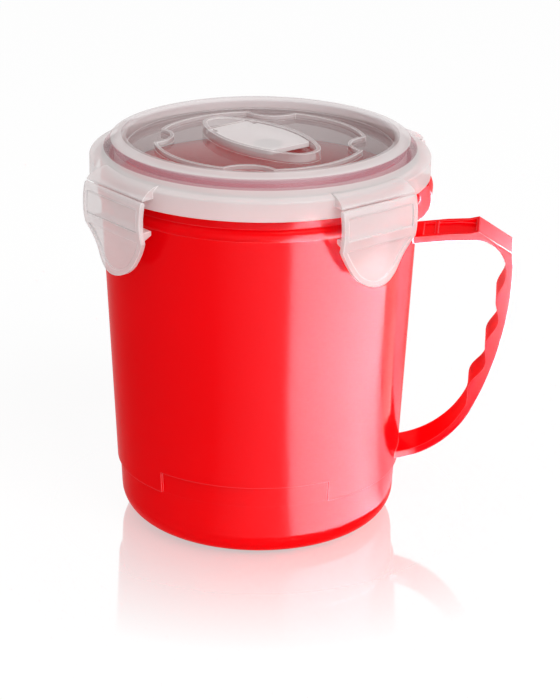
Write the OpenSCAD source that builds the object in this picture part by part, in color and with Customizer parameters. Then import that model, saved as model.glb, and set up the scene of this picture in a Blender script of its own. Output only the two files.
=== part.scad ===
// Lidded soup mug: a moulded mug with a strap handle and a clear lid held by four clips, with a steam vent.
// The mug stands on the XY plane with its axis on Z, and the handle points along +X.

/* [Mug] */
// Height from the table to the rim
mug_height = 127.3; // [126.4:0.1:127.4]
// Outside diameter of the wall, carried down to the table
base_d = 97; // [92:0.5:99]
// Outside diameter of the neck under the lid
neck_d = 107.8; // [107:0.1:108.4]
// Thickness of the wall at the rim
rim_wall = 1.9; // [1.5:0.1:2.1]
// Thickness of the wall at the base
base_wall = 1.8; // [1.5:0.1:2.4]
// Thickness of the floor
floor_t = 2; // [1.5:0.1:3]
// Radius of the round between the wall and the base
base_round = 9.4; // [7:0.1:12]
// Height of the hollow inside the foot ring
foot_hollow = 0.8; // [0.4:0.1:1.2]
// Width of the foot ring that touches the table
foot_ring_w = 3.5; // [2.5:0.1:5]

/* [Catch bead and base step] */
// Height of the middle of the catch bead
bead_z = 117.2; // [116.6:0.1:117.4]
// Radius of the bead's section
bead_r = 2.6; // [2:0.1:2.8]
// How far the bead stands out from the neck
bead_out = 1.1; // [0.6:0.1:1.2]
// Depth of the step between the wall and the lower band
step_in = 0.95; // [0.5:0.05:1.2]
// Height of the step on the two sides
step_side_z = 20; // [16:0.5:24]
// Height of the step on the front and back panels
step_panel_z = 27.3; // [25:0.1:34]
// Angle that each panel covers round the mug
panel_angle = 70; // [50:1:90]

/* [Handle] */
// Distance from the mug's axis to the handle's outer face
handle_reach = 86.6; // [80:0.1:95]
// Width of the strap
strap_w = 17; // [14:0.5:20]
// Thickness of the strap
strap_t = 2.3; // [2:0.1:3]
// Height of the arm's top face at the mug
arm_z = 104.1; // [102:0.1:105]
// How much higher the arm is at its outer end
arm_rise = 2.2; // [1:0.1:3]
// Radius of the long curve down the back of the grip
grip_curve_r = 120; // [114:1:126]
// Height at which that curve starts
grip_top_z = 95; // [94:0.5:96]
// Radius of the curve that brings the strap back to the mug
return_r = 36; // [33:0.5:38]
// Number of finger waves inside the grip
finger_waves = 3; // [2:1:4]
// Height of a finger wave
wave_h = 2.3; // [1:0.1:2.5]
// Depth of the channel in the top of the arm
channel_depth = 1.2; // [0.6:0.1:1.4]
// Radius of the thumb lug above the handle
lug_r = 8.9; // [7:0.1:9.2]
// Width of the thumb lug
lug_w = 14; // [8:1:17]

/* [Lid] */
// Outside diameter of the skirt
lid_d = 115.2; // [114.8:0.1:116]
// Height of the skirt's lower edge
skirt_z = 123; // [122.6:0.1:124]
// Fall of the shoulder from the ring to the skirt, in degrees
shoulder_fall = 28; // [25:1:29]
// Thickness of the lid
lid_t = 1.6; // [1.4:0.1:1.7]
// Outside diameter of the raised ring at its foot
ring_d = 104; // [103.4:0.2:104.4]
// Width of the raised ring at its foot
ring_w = 7; // [6.4:0.1:7.6]
// Height of the ring's foot
ring_foot_z = 132.4; // [132.3:0.1:133]
// Height of the ring's crest
ring_z = 136.3; // [135.9:0.1:137]
// Fall of the ring's top towards the outside, in degrees
ring_slope = 17; // [12:1:20]
// Height of the sunk panel's top
panel_z = 132; // [131.6:0.1:132.4]
// Height of the lower edge of the plug wall inside the mug
plug_z = 120.5; // [116:0.5:124]
// Radius of the four-lobed rib on the panel
lobe_r = 36; // [33:0.5:38]
// Radius of the four scallops cut into that rib
scallop_r = 9.8; // [8:0.1:11]
// Depth of the scallops
scallop_depth = 5.3; // [3:0.1:6]
// Height of the rib above the panel
rib_h = 1.7; // [1:0.1:2.6]

/* [Clips] */
// Distance from the mug's axis to the clip hinges
hinge_r = 60.5; // [60.2:0.1:61]
// Height of the clip hinges
hinge_z = 125.8; // [125.4:0.1:126]
// Width of a clip
clip_w = 31; // [28:0.2:33]
// Length of a clip from its hinge to its tip
clip_len = 27.2; // [25:0.1:29]
// Thickness of a clip
clip_t = 1.7; // [1.4:0.1:1.8]
// Radius of a clip's bow under its hinge
clip_bow_r = 28; // [26:1:32]
// How far the waist lies inside the crown of the bow
clip_waist_in = 2; // [1.6:0.1:2.2]
// Radius of the rounded finger tip
clip_tip_r = 11.3; // [10:0.1:13]
// Radius of the rounded top of the tab that carries a clip
tab_r = 9.7; // [9.5:0.1:10]
// Height of the locking bar's top
bar_z = 115.6; // [114:0.1:116]
// Height of the locking bar
bar_h = 2.8; // [2:0.1:3.2]

/* [Vent] */
// Length of the oval vent collar
vent_len = 54.6; // [50:0.2:58]
// Width of the oval vent collar
vent_w = 26.2; // [24:0.2:28]
// Radius of the oval's ends
vent_end_r = 7.5; // [6.5:0.1:9]
// Height of the collar's top
vent_z = 135.3; // [135.1:0.1:136]
// Thickness of the collar
vent_wall = 1.5; // [1.2:0.1:1.7]
// Thickness of the flap
flap_t = 1.6; // [1.4:0.1:1.8]
// Distance of the flap's pivot from the middle of the oval
pivot_u = 17; // [15:0.5:18]
// Distance of the flap's free end from the middle of the oval
flap_end_u = 15.5; // [12:0.5:17]
// Radius of the steam hole
steam_hole_r = 3.6; // [2.5:0.1:4]

/* [Hidden] */
$fn = 180;

mug_red = [0.88, 0.02, 0.03];
lid_clear = [0.86, 0.84, 0.84];
seal_white = [0.93, 0.93, 0.92];

// A cut runs this far past the face it opens
past = 1;

// The wall leans out from the base to the neck in a straight draft
base_or = base_d / 2;
neck_or = neck_d / 2;
wall_top_z = bead_z - bead_r;
draft = (neck_or - base_or) / wall_top_z;
band_or = base_or - step_in;
rim_ir = neck_or - rim_wall;
base_ir = band_or - base_wall;
inner_draft = (rim_ir - base_ir) / (mug_height - rim_wall / 2);
floor_z = foot_hollow + floor_t;
// The panels stand a hair proud of the band below them
panel_lip = 0.04;
inner_round = base_round - base_wall;

// The handle's curves share their centres with the strap's inside
grip_centre = [handle_reach - grip_curve_r, grip_top_z];
grip_end_angle = 26;
wave_start_angle = 1.9;
wave_end_angle = 25.9;
wave_angle = (wave_end_angle - wave_start_angle) / finger_waves;
grip_normal = [cos(grip_end_angle), -sin(grip_end_angle)];
return_centre = grip_centre + (grip_curve_r - return_r) * grip_normal;
handle_root = neck_or - 1.9;
foot_root = base_or - 0.5;
elbow_r = 10.4;
elbow_out = 0.5;
chamfer_top = [handle_reach - 12, arm_z + arm_rise + 0.8];
chamfer_low = [handle_reach - elbow_out, chamfer_top[1] - 7.1];
elbow_centre = [handle_reach - strap_t - elbow_r, arm_z + arm_rise - strap_t - elbow_r];
arm_knee = 12;
arm_knee_z = arm_z + 0.75 * arm_rise;
arm_lip = 3.2;
channel_wall = 1.7;
channel_start = neck_or + 2.2;
channel_end = chamfer_top[0] - 0.8;
channel_rib_x = neck_or + 6;
channel_rib_t = 1.1;
channel_start_rise = 0.55;
lug_centre = [neck_or - 4.4, bead_z + 0.2];
lug_top_z = skirt_z - 1.2;

// Radii of the lid from the outside in
lid_or = lid_d / 2;
skirt_ir = lid_or - lid_t;
ring_or = ring_d / 2;
ring_ir = ring_or - ring_w;
plug_or = ring_or - 1;
plug_ir = plug_or - lid_t;
hollow_ir = ring_ir + lid_t;

// The ring's section has a round at each side of its sloping top, and a leaning outer wall
ring_round = 1.2;
ring_lean = 28;
ring_foot = [ring_or, ring_foot_z];
slope_normal = [sin(ring_slope), cos(ring_slope)];
wall_normal = [cos(ring_lean), sin(ring_lean)];
crest_centre = [ring_ir + ring_round, ring_z - ring_round];
crest_run = ((ring_foot - crest_centre) * wall_normal - ring_round) / cos(ring_slope + ring_lean);
brow_centre = crest_centre + crest_run * [cos(ring_slope), -sin(ring_slope)];
under_crest = crest_centre + (ring_round - lid_t) * slope_normal;

// The shoulder falls straight to the rounded edge of the skirt
edge_round = 0.8;
edge_x = lid_or - edge_round;
edge_centre = [edge_x, shoulder_at(edge_x) - edge_round / cos(shoulder_fall)];
shoulder_normal = [sin(shoulder_fall), cos(shoulder_fall)];
rib_t = 1.2;
scallop_centre = lobe_r - scallop_depth + scallop_r;

// The seal lies against the plug wall, under a level ceiling above the rim
seal_w = 2.6;
seal_t = 1.35;
seal_lip_r = 0.5;
ceiling_end = plug_or + seal_w + 0.1;
ceiling_z = shoulder_at(ceiling_end) - lid_t / cos(shoulder_fall);

// Each tab is a rounded wedge from the shoulder to just above its clip's knuckle
clip_angles = [-45, -135, 135, 45];
knuckle_gap = 0.35;
tab_centre = [hinge_r - 7.35, hinge_z - 4.64];
tab_end = hinge_r - 0.15;
tab_floor_z = hinge_z + clip_t / 2 + knuckle_gap;
tab_bottom_half = clip_w / 2;
tab_top_half = tab_bottom_half - 1.7;

// A clip bows out to its crown, in to its waist and out again to its tip
crown_drop = 6.3;
waist_drop = 13.5;
clip_top_angle = asin(crown_drop / clip_bow_r);
bow_centre = [hinge_r - clip_bow_r * cos(clip_top_angle), hinge_z - crown_drop];
bow_reach = (pow(waist_drop, 2) + pow(clip_waist_in, 2)) / (2 * clip_waist_in);
flare_r = bow_reach - clip_bow_r;
flare_centre = bow_centre + [bow_reach - clip_waist_in, -waist_drop];
flare_angle = asin(waist_drop / bow_reach);
flare_turn = 45;
clip_taper_z = hinge_z - 13;
clip_tip_z = hinge_z - clip_len;
bar_half = clip_w / 2 - 2.5;
bar_face_r = neck_or + bead_out + 0.35;
field_depth = 0.5;
field_border = 1.8;

// The oval has two long side arcs that run into the end arcs just short of where they touch
oval_end_x = vent_len / 2 - vent_end_r;
oval_side_r = (pow(oval_end_x, 2) + pow(vent_w / 2, 2) - pow(vent_end_r, 2)) / (vent_w - 2 * vent_end_r);
oval_side_y = oval_side_r - vent_w / 2;
oval_overlap = 0.25;
vent_turn = -45;
flap_gap = 0.45;
flap_z = vent_z - 0.4 - flap_t;
pivot_z = flap_z + flap_t / 2;
pivot_pin_r = 0.7;
pivot_clearance = 0.05;
pivot_half = sqrt(pow(oval_side_r - vent_wall, 2) - pow(pivot_u, 2)) - oval_side_y;
hinge_ear_half = pivot_half - 0.6;
ear_len = 4;
plug_u = 4;
plug_stem_r = steam_hole_r - 0.6;
plug_flange_r = 5;
plug_flange_t = 0.9;
plug_boss_r = 1.5;

// Points along an arc about a centre, from one angle to another
function arc(c, r, a0, a1, n) =
    [for (i = [0:n]) c + r * [cos(a0 + (a1 - a0) * i / n), sin(a0 + (a1 - a0) * i / n)]];

// Thickness of the strap at an angle down the grip: the plain strap and smooth finger waves on it
function wave(a) = sin(180 * (a - wave_start_angle) / wave_angle);
function grip_t(a) = strap_t + (a < wave_end_angle ? wave_h * pow(wave(a), 2) : 0);

// Height of the lid's shoulder and of the hollow under the ring, at a radius
function shoulder_at(r) = ring_foot_z - (r - ring_or) * tan(shoulder_fall);
function ring_under(r) = under_crest[1] - (r - under_crest[0]) * tan(ring_slope);

// Path down a clip, set off from its middle surface: the bow, then the flare to the tip
function clip_path(off) = concat(
    arc(bow_centre, clip_bow_r + off, clip_top_angle, -flare_angle, 20),
    arc(flare_centre, flare_r - off, 180 - flare_angle, 180 + flare_turn, 24)
);

// Centre distance of a round that touches the level z and a drafted wall r0 + k * z,
// and where the round leaves that wall
function round_x(r0, k, z, q) = r0 + k * (z + q) - q * sqrt(1 + k * k);
function round_leave(r0, k, z, q) =
    [round_x(r0, k, z, q) + q / sqrt(1 + k * k), z + q - q * k / sqrt(1 + k * k)];

// Angle at which a line from a point touches a round at the origin
function touch_angle(p, r) = atan2(p[1], p[0]) - acos(r / norm(p));

// A radius and height outline swept along the tangent, centred on the plane through the axis
module across(width) {
    rotate([90, 0, 0])
        linear_extrude(width, center = true)
            children();
}

// A width and height outline swept outwards between two distances from the axis
module outwards(near, far) {
    translate([near, 0, 0])
        rotate([90, 0, 90])
            linear_extrude(far - near)
                children();
}

// Half section of a vessel with a drafted wall and a round at its foot
module drafted_half(r0, k, z0, q, z1) {
    leave = round_leave(r0, k, z0, q);
    polygon([[0, z0], [round_x(r0, k, z0, q), z0], leave, [r0 + k * z1, z1], [0, z1]]);
    intersection() {
        translate([round_x(r0, k, z0, q), z0 + q])
            circle(q);
        translate([0, z0])
            square([r0 * 2, leave[1] - z0]);
    }
}

module mug_half() {
    lip_r = rim_wall / 2;
    difference() {
        union() {
            drafted_half(band_or, draft, 0, base_round, step_side_z);
            polygon([
                [0, step_side_z],
                [base_or + draft * step_side_z, step_side_z],
                [neck_or, wall_top_z],
                [neck_or, mug_height - lip_r],
                [0, mug_height - lip_r],
            ]);
            translate([neck_or + bead_out - bead_r, bead_z])
                circle(bead_r);
        }
        drafted_half(base_ir, inner_draft, floor_z, inner_round, mug_height + past);
        translate([0, -past])
            square([round_x(band_or, draft, 0, base_round) - foot_ring_w, foot_hollow + past]);
    }
    translate([neck_or - lip_r, mug_height - lip_r])
        circle(lip_r);
}

// The step between the two levels, cut back over each panel
module panel_cut() {
    r0 = base_or + draft * (step_side_z - past);
    r1 = base_or + draft * step_panel_z;
    rotate([0, 0, -panel_angle / 2])
        rotate_extrude(angle = panel_angle)
            polygon([
                [r0 - step_in + panel_lip, step_side_z - past],
                [r0 + past, step_side_z - past],
                [r1 + past, step_panel_z],
                [r1 - step_in + panel_lip, step_panel_z],
            ]);
}

// Side outline of the strap: over the arm, down the grip and back to the mug, then the inside on the way up
module strap_outline() {
    back_end = -acos((foot_root - return_centre[0]) / return_r);
    inner_r = return_r - strap_t;
    inner_end = -acos((foot_root - return_centre[0]) / inner_r);
    waves = 14 * finger_waves;
    polygon(concat(
        [[handle_root, arm_z], [handle_root + arm_knee, arm_knee_z]],
        [[chamfer_top[0] - arm_lip, arm_z + arm_rise], chamfer_top, chamfer_low],
        arc(grip_centre, grip_curve_r, 0, -grip_end_angle, 24),
        arc(return_centre, return_r, -grip_end_angle, back_end, 24),
        arc(return_centre, inner_r, inner_end, -grip_end_angle, 24),
        [for (i = [waves:-1:0]) let (a = wave_start_angle + i / waves * (grip_end_angle - wave_start_angle))
            grip_centre + (grip_curve_r - grip_t(a)) * [cos(a), -sin(a)]],
        arc(elbow_centre, elbow_r, 0, 90, 12),
        [[handle_root + arm_knee, arm_knee_z - strap_t], [handle_root, arm_z - strap_t]]
    ));
}

// Open channel in the top of the arm, crossed by one rib
module arm_channel() {
    floor_end = arm_z + arm_rise - channel_depth;
    floor_start = arm_z + channel_start_rise * arm_rise - channel_depth;
    difference() {
        across(strap_w - 2 * channel_wall)
            polygon([
                [channel_start, floor_start],
                [handle_root + arm_knee + arm_lip, floor_end],
                [channel_end, floor_end],
                [channel_end, chamfer_top[1] + past],
                [channel_start, chamfer_top[1] + past],
            ]);
        translate([channel_rib_x, -strap_w / 2, 0])
            cube([channel_rib_t, strap_w, arm_z + arm_rise]);
    }
}

module thumb_lug() {
    across(lug_w)
        intersection() {
            translate(lug_centre)
                circle(lug_r);
            translate([neck_or - rim_wall / 2, 0])
                square([lug_r * 2, lug_top_z]);
        }
}

module mug() {
    color(mug_red) {
        difference() {
            rotate_extrude()
                mug_half();
            for (side = [-90, 90])
                rotate([0, 0, side])
                    panel_cut();
        }
        difference() {
            across(strap_w)
                strap_outline();
            arm_channel();
        }
        thumb_lug();
    }
}

// Half section of the lid's outside: panel, raised ring, shoulder and skirt
module lid_outside() {
    polygon([
        [0, plug_z],
        [lid_or, plug_z],
        [lid_or, edge_centre[1]],
        edge_centre + edge_round * shoulder_normal,
        ring_foot,
        brow_centre + ring_round * wall_normal,
        brow_centre + ring_round * slope_normal,
        crest_centre + ring_round * slope_normal,
        [ring_ir, crest_centre[1]],
        [ring_ir, panel_z],
        [0, panel_z],
    ]);
    translate(edge_centre)
        circle(edge_round);
    for (centre = [crest_centre, brow_centre])
        translate(centre)
            circle(ring_round);
}

// Half section of the two hollows inside the lid, on either side of the plug wall
module lid_inside() {
    polygon([
        [0, plug_z - past],
        [plug_ir, plug_z - past],
        [plug_ir, ring_under(plug_ir)],
        [hollow_ir, ring_under(hollow_ir)],
        [hollow_ir, panel_z - lid_t],
        [0, panel_z - lid_t],
    ]);
    polygon([
        [plug_or, plug_z - past],
        [lid_or + past, plug_z - past],
        [lid_or + past, skirt_z],
        [skirt_ir, skirt_z],
        [skirt_ir, shoulder_at(skirt_ir) - lid_t / cos(shoulder_fall)],
        [ceiling_end, ceiling_z],
        [plug_or, ceiling_z],
    ]);
}

// Rounded tab, a little wider at the hinge than at the shoulder
module tab() {
    intersection() {
        across(clip_w + past)
            intersection() {
                translate(tab_centre)
                    circle(tab_r);
                translate([ring_or, tab_floor_z])
                    square([tab_end - ring_or, tab_r]);
            }
        linear_extrude(ring_z)
            polygon([
                [ring_or - past, -tab_top_half],
                [hinge_r, -tab_bottom_half],
                [hinge_r, tab_bottom_half],
                [ring_or - past, tab_top_half],
            ]);
    }
}

// Outline of the panel's rib: a round with four scallops, drawn in by an inset
module lobed_outline(inset) {
    difference() {
        circle(lobe_r - inset);
        for (turn = [0:90:270])
            rotate(turn)
                translate([scallop_centre, 0])
                    circle(scallop_r + inset);
    }
}

// Oval made of four arcs, drawn in by an inset
module oval(inset) {
    meet_x = oval_end_x * (1 + (vent_end_r - inset) / (oval_side_r - vent_end_r));
    intersection() {
        translate([0, oval_side_y])
            circle(oval_side_r - inset);
        translate([0, -oval_side_y])
            circle(oval_side_r - inset);
        square([(meet_x - oval_overlap) * 2, vent_w], center = true);
    }
    for (side = [-1, 1])
        translate([side * oval_end_x, 0])
            circle(vent_end_r - inset);
}

// Cross shaft of the flap's pivot
module pivot(r, half) {
    translate([-pivot_u, 0, pivot_z])
        rotate([90, 0, 0])
            cylinder(r = r, h = half * 2, center = true);
}

// Oval collar with a fixed land behind the pivot
module vent_collar() {
    land_end = -pivot_u - flap_t / 2 - flap_gap;
    difference() {
        translate([0, 0, panel_z - lid_t / 2])
            linear_extrude(vent_z - panel_z + lid_t / 2)
                difference() {
                    oval(0);
                    oval(vent_wall);
                }
        pivot(pivot_pin_r + pivot_clearance, vent_w);
    }
    translate([0, 0, panel_z - lid_t / 2])
        linear_extrude(flap_z + flap_t - panel_z + lid_t / 2)
            intersection() {
                oval(vent_wall / 2);
                translate([-vent_len, -vent_w])
                    square([vent_len + land_end, vent_w * 2]);
            }
}

module lid() {
    color(lid_clear) {
        difference() {
            union() {
                rotate_extrude()
                    lid_outside();
                for (turn = clip_angles)
                    rotate([0, 0, turn])
                        tab();
            }
            rotate_extrude()
                lid_inside();
            rotate([0, 0, vent_turn])
                translate([plug_u, 0, panel_z - lid_t - past])
                    cylinder(r = steam_hole_r, h = lid_t + 2 * past);
        }
        translate([0, 0, panel_z - lid_t / 2])
            linear_extrude(rib_h + lid_t / 2)
                difference() {
                    lobed_outline(0);
                    lobed_outline(rib_t);
                }
        rotate([0, 0, vent_turn])
            vent_collar();
    }
}

// Silicone ring with two soft lips for the mug's rim
module lid_seal() {
    color(seal_white)
        rotate_extrude() {
            translate([plug_or, ceiling_z - seal_t])
                square([seal_w, seal_t]);
            for (x = [seal_lip_r * 1.5, seal_w - seal_lip_r * 1.5])
                translate([plug_or + x, ceiling_z - seal_t])
                    circle(seal_lip_r);
        }
}

// Section of the clip between two distances from its middle surface
module bow(inner, outer) {
    inside = clip_path(inner);
    last = len(inside) - 1;
    polygon(concat(clip_path(outer), [for (i = [last:-1:0]) inside[i]]));
}

// Front outline of the clip: straight sides, a taper and a round tip, drawn in by an inset
module clip_outline(inset) {
    tip_r = clip_tip_r - inset;
    half = clip_w / 2 - inset;
    centre_z = clip_tip_z + clip_tip_r;
    a = touch_angle([half, clip_taper_z - centre_z], tip_r);
    touch = [tip_r * cos(a), centre_z + tip_r * sin(a)];
    polygon([
        [-half, hinge_z - inset],
        [-half, clip_taper_z],
        [-touch[0], touch[1]],
        touch,
        [half, clip_taper_z],
        [half, hinge_z - inset],
    ]);
    translate([0, centre_z])
        circle(tip_r);
}

// Two shallow fields in the outer face, above and below the locking bar
module clip_fields() {
    intersection() {
        across(clip_w)
            bow(clip_t / 2 - field_depth, clip_t / 2 + past);
        outwards(0, lid_d)
            difference() {
                clip_outline(field_border);
                translate([-clip_w, bar_z - bar_h])
                    square([clip_w * 2, bar_h + field_border / 2]);
            }
    }
}

// Clip that turns on a round knuckle, with a locking bar across its inside
module clip() {
    color(lid_clear) {
        difference() {
            intersection() {
                across(clip_w)
                    bow(-clip_t / 2, clip_t / 2);
                outwards(0, lid_d)
                    clip_outline(0);
            }
            clip_fields();
        }
        translate([hinge_r, 0, hinge_z])
            rotate([90, 0, 0])
                cylinder(r = clip_t / 2, h = clip_w, center = true);
        across(bar_half * 2)
            polygon([
                [bar_face_r, bar_z],
                [hinge_r, bar_z],
                [hinge_r, bar_z - bar_h],
                [hinge_r - 1.5 * clip_t, bar_z - bar_h],
                [bar_face_r, bar_z - bar_h / 2],
            ]);
    }
}

module front_right_clip() {
    rotate([0, 0, clip_angles[0]])
        clip();
}

module front_left_clip() {
    rotate([0, 0, clip_angles[1]])
        clip();
}

module rear_left_clip() {
    rotate([0, 0, clip_angles[2]])
        clip();
}

module rear_right_clip() {
    rotate([0, 0, clip_angles[3]])
        clip();
}

// Flap that fills the collar but for a finger gap at its free end, on a cross shaft
module vent_flap() {
    color(lid_clear)
        rotate([0, 0, vent_turn]) {
            translate([0, 0, flap_z])
                linear_extrude(flap_t)
                    difference() {
                        intersection() {
                            oval(vent_wall + flap_gap);
                            translate([-pivot_u, -vent_w / 2])
                                square([pivot_u + flap_end_u, vent_w]);
                        }
                        for (side = [-1, 1])
                            translate([-pivot_u + ear_len / 2, side * (hinge_ear_half + vent_w / 2)])
                                square([ear_len, vent_w], center = true);
                    }
            pivot(flap_t / 2, hinge_ear_half);
            pivot(pivot_pin_r, pivot_half + vent_wall);
            translate([plug_u, 0, flap_z - plug_flange_t])
                cylinder(r = plug_boss_r, h = plug_flange_t + flap_t / 2);
        }
}

// Silicone plug under the flap that closes the steam hole
module vent_plug() {
    color(seal_white)
        rotate([0, 0, vent_turn])
            translate([plug_u, 0, 0])
                difference() {
                    union() {
                        translate([0, 0, flap_z - plug_flange_t])
                            cylinder(r = plug_flange_r, h = plug_flange_t);
                        translate([0, 0, panel_z - lid_t])
                            cylinder(r = plug_stem_r, h = flap_z - plug_flange_t - panel_z + lid_t);
                    }
                    translate([0, 0, flap_z - plug_flange_t])
                        cylinder(r = plug_boss_r, h = plug_flange_t + past);
                }
}

mug();
lid();
lid_seal();
front_right_clip();
front_left_clip();
rear_left_clip();
rear_right_clip();
vent_flap();
vent_plug();
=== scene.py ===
import math
import bpy
import numpy as np
from mathutils import Matrix, Vector

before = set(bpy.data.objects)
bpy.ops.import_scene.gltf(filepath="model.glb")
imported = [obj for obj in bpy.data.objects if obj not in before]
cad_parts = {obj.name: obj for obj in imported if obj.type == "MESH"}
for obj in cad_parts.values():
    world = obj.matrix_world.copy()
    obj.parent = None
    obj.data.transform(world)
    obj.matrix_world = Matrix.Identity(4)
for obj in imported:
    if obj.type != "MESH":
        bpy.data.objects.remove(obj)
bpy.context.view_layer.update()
mm = 0.001


def linear(hexColour):
    # sRGB hex to linear red, green, blue and full alpha
    channels = [int(hexColour[i:i + 2], 16) / 255 for i in (1, 3, 5)]
    return [c / 12.92 if c <= 0.04045 else ((c + 0.055) / 1.055) ** 2.4 for c in channels] + [1.0]


def addNode(tree, kind, links=None, **settings):
    # links gives each named socket a value or another node's output, settings go on the node itself
    node = tree.nodes.new(kind)
    for key, value in settings.items():
        setattr(node, key, value)
    for socket, value in (links or {}).items():
        target = node.inputs[socket]
        if isinstance(value, bpy.types.NodeSocket):
            tree.links.new(value, target)
        else:
            target.default_value = value
    return node


def newMaterial(name):
    material = bpy.data.materials.new(name)
    material.use_nodes = True
    material.node_tree.nodes.clear()
    return material, material.node_tree


def axisPlace(tree):
    # object coordinates, with the distance from the mug's axis and the height
    place = addNode(tree, "ShaderNodeTexCoord").outputs["Object"]
    flat = addNode(tree, "ShaderNodeVectorMath", {0: place, 1: (1, 1, 0)}, operation="MULTIPLY")
    reach = addNode(tree, "ShaderNodeVectorMath", {0: flat.outputs[0]}, operation="LENGTH").outputs["Value"]
    height = addNode(tree, "ShaderNodeSeparateXYZ", {0: place}).outputs["Z"]
    return place, reach, height


def zoneMask(tree, reach, height, limitsMm, soft=0.3):
    # one within the limits near, far, low and high, falling to nought over the soft width outside them
    near, far, low, high = limitsMm
    mask = 1.0
    for value, first, last in ((reach, near, far), (height, low, high)):
        for outer, inner in ((first - soft, first), (last + soft, last)):
            ramp = addNode(tree, "ShaderNodeMapRange", {"Value": value, 1: outer * mm, 2: inner * mm})
            mask = addNode(tree, "ShaderNodeMath", {0: mask, 1: ramp.outputs[0]}, operation="MULTIPLY").outputs[0]
    return mask


def edgeMask(tree, radiusMm):
    # one on an edge, where the rounded normal leaves the true one; the rounded normal comes with it
    flat, sharp = 0.98, 0.80    # how far the two normals agree, as a cosine
    rounded = addNode(tree, "ShaderNodeBevel", {"Radius": radiusMm * mm}, samples=8).outputs["Normal"]
    true = addNode(tree, "ShaderNodeNewGeometry").outputs["Normal"]
    agree = addNode(tree, "ShaderNodeVectorMath", {0: rounded, 1: true}, operation="DOT_PRODUCT")
    mask = addNode(tree, "ShaderNodeMapRange", {"Value": agree.outputs["Value"], 1: flat, 2: sharp})
    return mask.outputs[0], rounded


def seenDirectly(tree):
    # two masks: what the camera sees itself, in gloss or through a clear piece, and what is seen in gloss alone
    seen = addNode(tree, "ShaderNodeLightPath").outputs
    either = addNode(tree, "ShaderNodeMath", {0: seen["Is Camera Ray"], 1: seen["Is Glossy Ray"]},
                     operation="MAXIMUM")
    shown = addNode(tree, "ShaderNodeMath", {0: either.outputs[0], 1: seen["Is Transmission Ray"]},
                    operation="MAXIMUM")
    return shown.outputs[0], seen["Is Glossy Ray"]


def lowAngle(tree, power):
    # nought straight on, one along the surface, and the higher the power the later it rises
    facing = addNode(tree, "ShaderNodeLayerWeight", {"Blend": 0.5}).outputs["Facing"]
    return addNode(tree, "ShaderNodeMath", {0: facing, 1: power}, operation="POWER").outputs[0]


# glossy moulded polypropylene: even red, a mirror-like skin with the faintest orange peel from the mould; edges
# catch a thin line of light, partly from more gloss and partly as a painted highlight of paler red in the colour,
# and the handle is duller towards its foot
redSettings = {
    "deep": "#ea0005",
    "bright": "#f2000a",
    "paintedEdgeHighlight": "#f4464e",
    "cloudMm": 45,
    "peelMm": 2.2,
    "peelDepth": 0.03,
    "peelHeightMm": 0.1,
    "rough": (0.10, 0.16),
    "ior": 1.49,
    "edgeMm": 0.5,
    "shine": 0.0046,
    "edgeShine": 0.05,
    "grazingShine": 0.3,
    "grazingPower": 8.0,
    "handleFromMm": (54.5, 57),
    "dullHeightMm": (28, 95),
    "dullShare": (0.04, 0.76),
}


def makeRedPolypropylene(s):
    material, tree = newMaterial("mouldedRedPolypropylene")
    place, reach, height = axisPlace(tree)
    cloud = addNode(tree, "ShaderNodeTexNoise", {"Vector": place, "Scale": 1 / (s["cloudMm"] * mm), "Detail": 2.0})
    edge, rounded = edgeMask(tree, s["edgeMm"])
    colour = linear(s["deep"])
    # the edge colour is a painted highlight: edges are drawn a paler red to stand in for the line of light they
    # catch
    for mask, shade in ((cloud.outputs["Fac"], "bright"), (edge, "paintedEdgeHighlight")):
        colour = addNode(tree, "ShaderNodeMix", {0: mask, 6: colour, 7: linear(s[shade])},
                         data_type="RGBA").outputs[2]
    peel = addNode(tree, "ShaderNodeTexNoise", {"Vector": place, "Scale": 1 / (s["peelMm"] * mm), "Detail": 1.0})
    rough = addNode(tree, "ShaderNodeMapRange", {"Value": cloud.outputs["Fac"], 3: s["rough"][0],
                                                 4: s["rough"][1]})
    shine = addNode(tree, "ShaderNodeMix", {0: edge, 2: s["shine"], 3: s["edgeShine"]})
    handle = addNode(tree, "ShaderNodeMapRange", {"Value": reach, 1: s["handleFromMm"][0] * mm,
                                                  2: s["handleFromMm"][1] * mm})
    dull = addNode(tree, "ShaderNodeMapRange", {"Value": height, 1: s["dullHeightMm"][0] * mm,
                                                2: s["dullHeightMm"][1] * mm, 3: s["dullShare"][0],
                                                4: s["dullShare"][1]})
    polished = addNode(tree, "ShaderNodeMix", {0: handle.outputs[0], 2: 1.0, 3: dull.outputs[0]})
    gloss = addNode(tree, "ShaderNodeMapRange", {"Value": lowAngle(tree, s["grazingPower"]), 3: shine.outputs[0],
                                                 4: s["grazingShine"]})
    mirror = addNode(tree, "ShaderNodeMath", {0: gloss.outputs[0], 1: polished.outputs[0]}, operation="MULTIPLY")
    bump = addNode(tree, "ShaderNodeBump", {"Height": peel.outputs["Fac"], "Strength": s["peelDepth"],
                                            "Distance": s["peelHeightMm"] * mm, "Normal": rounded})
    skin = addNode(tree, "ShaderNodeBsdfPrincipled", {
        "Base Color": colour, "Roughness": rough.outputs["Result"], "IOR": s["ior"], "Specular IOR Level": 0.0,
        "Normal": bump.outputs["Normal"]})
    polish = addNode(tree, "ShaderNodeBsdfGlossy", {"Color": (1, 1, 1, 1), "Roughness": rough.outputs["Result"],
                                                    "Normal": bump.outputs["Normal"]})
    both = addNode(tree, "ShaderNodeMixShader", {0: mirror.outputs[0], 1: skin.outputs["BSDF"],
                                                 2: polish.outputs["BSDF"]})
    addNode(tree, "ShaderNodeOutputMaterial", {"Surface": both.outputs[0]})
    return material
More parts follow.
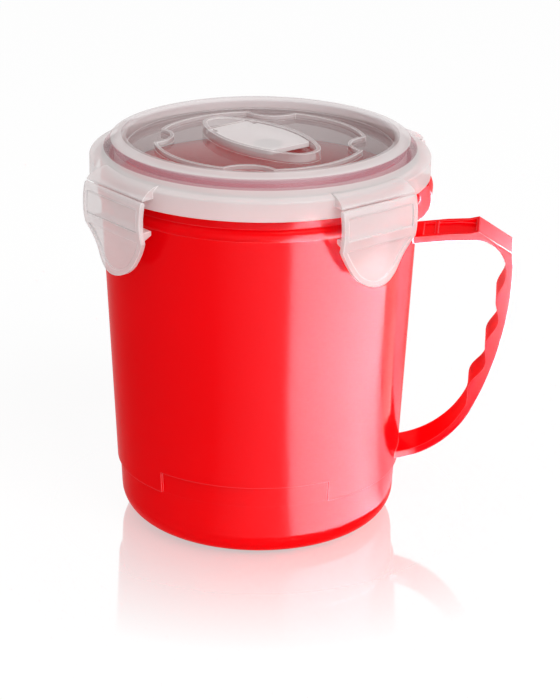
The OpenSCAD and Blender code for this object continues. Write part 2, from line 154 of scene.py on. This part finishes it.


# moulded polypropylene: frosted and milky, but polished clear in the sunk panel; its edges are painted paler and
# more solid, a painted highlight for the light they gather, and the ring's wall is painted mauve, a painted glow
# for the red of the mug below showing through. Its grain is finer on the real one, and drawn coarse enough to show.
# Each zone is near, far, low and high in millimetres, with its own share of solid to clear
frostSettings = {
    "clear": "#f4eded",
    "milk": "#e9dfdf",
    "paintedEdgeLight": "#fbf6f6",
    "smoke": "#6c5c5e",
    "paintedRedGlow": "#d49aa6",
    "cloudMm": 18,
    "grainMm": 0.9,
    "grainDepth": 0.10,
    "grainHeightMm": 0.05,
    "edgeMm": 0.45,
    "panelMm": (-1, 46.7, 0, 132.06),
    "ribMm": (28.6, 46.7, 132.36, 200),
    "collarMm": (-1, 28.3, 132.36, 200),
    "wallMm": (48.9, 52.6, 131.95, 134.75),
    "frostSolid": 0.56,
    "ribSolid": 0.30,
    "collarSolid": 0.32,
    "panelSolid": 0.20,
    "edgeSolid": 0.75,
    "wallSolid": 0.36,
    "frostRough": (0.289, 0.391),
    "panelRough": 0.06,
    "panelMirror": 0.04,
    "mirrorPower": 5.0,
    "ior": 1.49,
}


def makeFrostedPolypropylene(name, s):
    material, tree = newMaterial(name)
    place, reach, height = axisPlace(tree)
    cloud = addNode(tree, "ShaderNodeTexNoise", {"Vector": place, "Scale": 1 / (s["cloudMm"] * mm), "Detail": 3.0})
    grain = addNode(tree, "ShaderNodeTexNoise", {"Vector": place, "Scale": 1 / (s["grainMm"] * mm), "Detail": 2.0})
    panel, rib, collar, wall = (zoneMask(tree, reach, height, s[zone + "Mm"])
                                for zone in ("panel", "rib", "collar", "wall"))
    edge, rounded = edgeMask(tree, s["edgeMm"])
    # the clear panel holds no milk and swallows a little light; the ring's wall is painted mauve, a painted glow
    # standing in for the red of the mug below seen through it
    colour = linear(s["clear"])
    # the edge colour is a painted highlight, near-white where edges gather light
    for mask, shade in ((cloud.outputs["Fac"], "milk"), (panel, "smoke"), (edge, "paintedEdgeLight"), (wall, "paintedRedGlow")):
        colour = addNode(tree, "ShaderNodeMix", {0: mask, 6: colour, 7: linear(s[shade])},
                         data_type="RGBA").outputs[2]
    solid = s["frostSolid"]
    for mask, zone in ((rib, "rib"), (collar, "collar"), (panel, "panel"), (edge, "edge"), (wall, "wall")):
        solid = addNode(tree, "ShaderNodeMix", {0: mask, 2: solid, 3: s[zone + "Solid"]}).outputs[0]
    matte = addNode(tree, "ShaderNodeMapRange", {"Value": grain.outputs["Fac"], 3: s["frostRough"][0],
                                                 4: s["frostRough"][1]})
    rough = addNode(tree, "ShaderNodeMix", {0: panel, 2: matte.outputs[0], 3: s["panelRough"]})
    bump = addNode(tree, "ShaderNodeBump", {"Height": grain.outputs["Fac"], "Strength": s["grainDepth"],
                                            "Distance": s["grainHeightMm"] * mm, "Normal": rounded})
    skin = addNode(tree, "ShaderNodeBsdfPrincipled", {
        "Base Color": colour, "Roughness": rough.outputs[0], "IOR": s["ior"], "Alpha": solid,
        "Normal": bump.outputs["Normal"]})
    # the polished panel mirrors a little straight on and more at low angles, on its outer side only
    image = addNode(tree, "ShaderNodeMapRange", {"Value": lowAngle(tree, s["mirrorPower"]), 3: s["panelMirror"],
                                                 4: 1.0})
    back = addNode(tree, "ShaderNodeNewGeometry").outputs["Backfacing"]
    outer = addNode(tree, "ShaderNodeMix", {0: back, 2: image.outputs[0], 3: 0.0})
    mirror = addNode(tree, "ShaderNodeMath", {0: panel, 1: outer.outputs[0]}, operation="MULTIPLY")
    polish = addNode(tree, "ShaderNodeBsdfGlossy", {"Color": (1, 1, 1, 1), "Roughness": s["panelRough"]})
    both = addNode(tree, "ShaderNodeMixShader", {0: mirror.outputs[0], 1: skin.outputs["BSDF"],
                                                 2: polish.outputs["BSDF"]})
    addNode(tree, "ShaderNodeOutputMaterial", {"Surface": both.outputs[0]})
    return material


# moulded silicone: soft, milky and without gloss, its fine grain drawn coarse enough to show
siliconeSettings = {"pale": "#efefec", "shade": "#dcdcd8", "cloudMm": 6, "grainMm": 0.6, "grainDepth": 0.1,
                    "grainHeightMm": 0.05, "rough": 0.55, "ior": 1.41}


def makeSilicone(s):
    material, tree = newMaterial("mouldedSilicone")
    place = addNode(tree, "ShaderNodeTexCoord").outputs["Object"]
    cloud = addNode(tree, "ShaderNodeTexNoise", {"Vector": place, "Scale": 1 / (s["cloudMm"] * mm), "Detail": 2.0})
    colour = addNode(tree, "ShaderNodeMix", {0: cloud.outputs["Fac"], 6: linear(s["pale"]), 7: linear(s["shade"])},
                     data_type="RGBA")
    grain = addNode(tree, "ShaderNodeTexNoise", {"Vector": place, "Scale": 1 / (s["grainMm"] * mm)})
    bump = addNode(tree, "ShaderNodeBump", {"Height": grain.outputs["Fac"], "Strength": s["grainDepth"],
                                            "Distance": s["grainHeightMm"] * mm})
    skin = addNode(tree, "ShaderNodeBsdfPrincipled", {
        "Base Color": colour.outputs[2], "Roughness": s["rough"], "IOR": s["ior"],
        "Normal": bump.outputs["Normal"]})
    addNode(tree, "ShaderNodeOutputMaterial", {"Surface": skin.outputs["BSDF"]})
    return material


redPolypropylene = makeRedPolypropylene(redSettings)
frostedPolypropylene = makeFrostedPolypropylene("frostedPolypropylene", frostSettings)
# the clips are thinner mouldings of the same plastic, with broad painted pale borders, a painted highlight for the
# light their edges gather
clipPolypropylene = makeFrostedPolypropylene("thinFrostedPolypropylene",
                                             dict(frostSettings, edgeMm=1.1, edgeSolid=0.76))
# the flap is thicker, and milkier than the collar round it
flapPolypropylene = makeFrostedPolypropylene("thickFrostedPolypropylene", dict(frostSettings, collarSolid=0.70))
silicone = makeSilicone(siliconeSettings)
print("materials made")


def paint(node, material):
    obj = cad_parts[node]
    obj.data.materials.clear()
    obj.data.materials.append(material)


paint("mug", redPolypropylene)
paint("lid", frostedPolypropylene)
paint("vent_flap", flapPolypropylene)
for clipNode in ("front_right_clip", "front_left_clip", "rear_left_clip", "rear_right_clip"):
    paint(clipNode, clipPolypropylene)
for softNode in ("lid_seal", "vent_plug"):
    paint(softNode, silicone)
print("solids painted")


def surfaceObject(name, points, faces, material, smooth=True):
    mesh = bpy.data.meshes.new(name)
    mesh.from_pydata(np.asarray(points).reshape(-1, 3).tolist(), [], np.asarray(faces).tolist())
    mesh.polygons.foreach_set("use_smooth", [smooth] * len(mesh.polygons))
    mesh.update()
    obj = bpy.data.objects.new(name, mesh)
    bpy.context.scene.collection.objects.link(obj)
    mesh.materials.append(material)
    return obj


def gridFaces(rows, columns):
    # four-cornered faces of a grid of points, one row after another
    r, c = np.meshgrid(np.arange(rows - 1), np.arange(columns - 1), indexing="ij")
    first = (r * columns + c).ravel()
    return np.stack([first, first + 1, first + columns + 1, first + columns], axis=1)


# white table: mostly its own white, a soft shadow, and a mirror image of the mug that fades out in front
floorSettings = {"size": 6.0, "white": "#f7f7f7", "glow": 0.88, "level": 1.027, "mirror": 0.44, "mirrorFromMm": 44,
                 "mirrorToMm": 112, "mirrorRough": 0.06}


def makeFloor(s):
    half = s["size"] / 2
    corners = [[-half, -half, 0], [half, -half, 0], [half, half, 0], [-half, half, 0]]
    material, tree = newMaterial("whiteTable")
    place = addNode(tree, "ShaderNodeTexCoord").outputs["Object"]
    reach = addNode(tree, "ShaderNodeVectorMath", {0: place}, operation="LENGTH")
    fade = addNode(tree, "ShaderNodeMapRange", {"Value": reach.outputs["Value"], 1: s["mirrorFromMm"] * mm,
                                                2: s["mirrorToMm"] * mm, 3: s["mirror"], 4: 0.0})
    shown, _ = seenDirectly(tree)
    share = addNode(tree, "ShaderNodeMath", {0: shown, 1: s["glow"]}, operation="MULTIPLY")
    matte = addNode(tree, "ShaderNodeBsdfDiffuse", {"Color": linear(s["white"])})
    glow = addNode(tree, "ShaderNodeEmission", {"Color": (1, 1, 1, 1), "Strength": s["level"]})
    white = addNode(tree, "ShaderNodeMixShader", {0: share.outputs[0], 1: matte.outputs[0], 2: glow.outputs[0]})
    gloss = addNode(tree, "ShaderNodeBsdfGlossy", {"Color": (1, 1, 1, 1), "Roughness": s["mirrorRough"]})
    table = addNode(tree, "ShaderNodeMixShader", {0: fade.outputs["Result"], 1: white.outputs[0],
                                                  2: gloss.outputs[0]})
    addNode(tree, "ShaderNodeOutputMaterial", {"Surface": table.outputs[0]})
    surfaceObject("floor", corners, [[0, 1, 2, 3]], material, smooth=False)


# tall white card round the mug's right side, seen only in the mug's gloss: its brightness is given along its angle,
# from the left end round to the far one, and comes down at the foot of the far end
cardSettings = {
    "columns": 297,
    "rows": 70,
    "turnDeg": -84,
    "heightMm": (0.5, 35, 118),
    "radiusMm": (56, 97, 97),
    "strength": 65.0,
    "tint": "#fdecff",
    "deg": (-25, 12, 15.5, 18.8, 22, 60, 78, 82.7, 98.5, 110, 124),
    "share": (0, 0.1, 0.22, 0.86, 1.08, 1.76, 1.85, 0.96, 0.28, 0.1, 0),
    "footDeg": (64, 80),
    "footMm": (8, 40),
    "footShare": 0.22,
}


def showOnlyInMugGloss(obj):
    obj.visible_camera = False
    obj.visible_diffuse = False
    obj.visible_transmission = False
    obj.visible_shadow = False
    lit = bpy.data.collections.new(obj.name + "Lit")
    lit.objects.link(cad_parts["mug"])
    obj.light_linking.receiver_collection = lit


def makeCard(s):
    # part of a round wall about the mug's axis, drawn in at its foot: x = r cos a, y = r sin a
    degrees, height = np.meshgrid(np.linspace(s["deg"][0], s["deg"][-1], s["columns"]),
                                  np.linspace(s["heightMm"][0], s["heightMm"][-1], s["rows"]))
    angle = np.radians(degrees + s["turnDeg"])
    radius = np.interp(height, s["heightMm"], s["radiusMm"])
    points = np.stack([radius * np.cos(angle), radius * np.sin(angle), height], axis=-1) * mm
    foot = np.interp(degrees, s["footDeg"], (0, 1)) * np.interp(height, s["footMm"], (1, 0))
    level = np.interp(degrees, s["deg"], s["share"]) * s["strength"] * (1 - (1 - s["footShare"]) * foot)
    material, tree = newMaterial("softboxCard")
    given = addNode(tree, "ShaderNodeAttribute", attribute_name="level").outputs["Fac"]
    # the side towards the mug glows, the other is dark
    inside = addNode(tree, "ShaderNodeNewGeometry").outputs["Backfacing"]
    strength = addNode(tree, "ShaderNodeMath", {0: given, 1: inside}, operation="MULTIPLY")
    glow = addNode(tree, "ShaderNodeEmission", {"Color": linear(s["tint"]), "Strength": strength.outputs[0]})
    air = addNode(tree, "ShaderNodeBsdfTransparent")
    both = addNode(tree, "ShaderNodeAddShader", {0: glow.outputs[0], 1: air.outputs[0]})
    addNode(tree, "ShaderNodeOutputMaterial", {"Surface": both.outputs[0]})
    card = surfaceObject("softboxCard", points, gridFaces(*angle.shape), material)
    card.data.attributes.new("level", "FLOAT", "POINT").data.foreach_set("value", level.ravel())
    showOnlyInMugGloss(card)


# small side lamp over the dark image of the grip in the mug's side: angle about the axis, lean of its long side
sideLampSettings = {"power": 0.055, "radiusMm": 62, "deg": -11.5, "leanDeg": 12, "heightMm": 64, "longMm": 66,
                    "wideMm": 13}


def makeSideLamp(s):
    lamp = bpy.data.lights.new("sideLamp", "AREA")
    lamp.shape = "RECTANGLE"
    lamp.energy = s["power"]
    lamp.size, lamp.size_y = s["wideMm"] * mm, s["longMm"] * mm
    obj = bpy.data.objects.new("sideLamp", lamp)
    angle, lean = math.radians(s["deg"]), math.radians(s["leanDeg"])
    out = Vector((math.cos(angle), math.sin(angle), 0))
    long = math.cos(lean) * Vector((0, 0, 1)) - math.sin(lean) * Vector((-math.sin(angle), math.cos(angle), 0))
    obj.matrix_world = Matrix((long.cross(out), long, out)).transposed().to_4x4()
    obj.location = out * s["radiusMm"] * mm + Vector((0, 0, s["heightMm"] * mm))
    bpy.context.scene.collection.objects.link(obj)
    showOnlyInMugGloss(obj)


makeFloor(floorSettings)
makeCard(cardSettings)
makeSideLamp(sideLampSettings)

# plain white studio: even light from all round, one large soft lamp high on the right and a weak fill on the left;
# each lamp has its power and place, and points at the middle of the mug
studioSettings = {
    "white": 1.0,
    "ambient": 0.58,
    "backdropDeg": 16.1,
    "gapDeg": 17.2,
    "gap": 0.15,
    "soft": 0.01,
    "lamps": {"keyLamp": (14.0, (0.75, -0.85, 1.1)), "fillLamp": (0.5, (-0.9, -0.75, 0.7))},
    "lampSize": 0.9,
    "aimHeightMm": 70,
}


def makeStudio(s):
    world = bpy.data.worlds.new("studio")
    bpy.context.scene.world = world
    world.use_nodes = True
    tree = world.node_tree
    tree.nodes.clear()
    shown, inGloss = seenDirectly(tree)
    # in gloss a darker gap lies a little above the horizon, between the white backdrop and the ceiling
    aim = addNode(tree, "ShaderNodeSeparateXYZ", {0: addNode(tree, "ShaderNodeTexCoord").outputs["Generated"]})
    low, high = (math.sin(math.radians(s[k])) for k in ("backdropDeg", "gapDeg"))
    backdrop = addNode(tree, "ShaderNodeMapRange", {"Value": aim.outputs["Z"], 1: low, 2: low + s["soft"],
                                                    3: s["white"], 4: s["gap"]})
    ceiling = addNode(tree, "ShaderNodeMapRange", {"Value": aim.outputs["Z"], 1: high, 2: high + s["soft"],
                                                   3: s["gap"], 4: s["white"]})
    room = addNode(tree, "ShaderNodeMath", {0: backdrop.outputs[0], 1: ceiling.outputs[0]}, operation="MAXIMUM")
    mirrored = addNode(tree, "ShaderNodeMix", {0: inGloss, 2: s["white"], 3: room.outputs[0]})
    level = addNode(tree, "ShaderNodeMix", {0: shown, 2: s["ambient"], 3: mirrored.outputs[0]})
    sky = addNode(tree, "ShaderNodeBackground", {"Color": (1, 1, 1, 1), "Strength": level.outputs[0]})
    addNode(tree, "ShaderNodeOutputWorld", {"Surface": sky.outputs[0]})
    middle = Vector((0, 0, s["aimHeightMm"] * mm))
    for name, (power, place) in s["lamps"].items():
        lamp = bpy.data.lights.new(name, "AREA")
        lamp.energy = power
        lamp.size = s["lampSize"]
        obj = bpy.data.objects.new(name, lamp)
        obj.location = place
        obj.rotation_euler = (middle - Vector(place)).to_track_quat("-Z", "Y").to_euler()
        bpy.context.scene.collection.objects.link(obj)


makeStudio(studioSettings)
print("stage and lights made")

# camera at the photo's place: distance and height in metres, angles in degrees, focal length in photo pixels
cameraSettings = {"away": 0.740, "height": 0.346, "turn": 6.0, "pitch": 21.29, "yaw": 0.58, "roll": -0.76,
                  "focalPx": 2277, "longSidePx": 700, "sensorMm": 36.0, "clipStart": 0.01}


def makeCamera(s):
    pitch, yaw, roll = (math.radians(s[k]) for k in ("pitch", "yaw", "roll"))
    right0 = Vector((math.cos(yaw), -math.sin(yaw), 0))
    ahead0 = Vector((math.sin(yaw), math.cos(yaw), 0))
    ahead = math.cos(pitch) * ahead0 - math.sin(pitch) * Vector((0, 0, 1))
    up0 = math.sin(pitch) * ahead0 + math.cos(pitch) * Vector((0, 0, 1))
    right = math.cos(roll) * right0 - math.sin(roll) * up0
    up = math.sin(roll) * right0 + math.cos(roll) * up0
    basis = Matrix((right, up, -ahead)).transposed().to_4x4()
    basis.translation = Vector((0, -s["away"], s["height"]))
    data = bpy.data.cameras.new("photoCamera")
    data.sensor_width = s["sensorMm"]
    data.lens = s["sensorMm"] * s["focalPx"] / s["longSidePx"]
    data.clip_start = s["clipStart"]
    camera = bpy.data.objects.new("photoCamera", data)
    camera.matrix_world = Matrix.Rotation(math.radians(s["turn"]), 4, "Z") @ basis
    bpy.context.scene.collection.objects.link(camera)
    bpy.context.scene.camera = camera


makeCamera(cameraSettings)
bpy.context.scene.view_settings.view_transform = "Standard"
print("camera set")
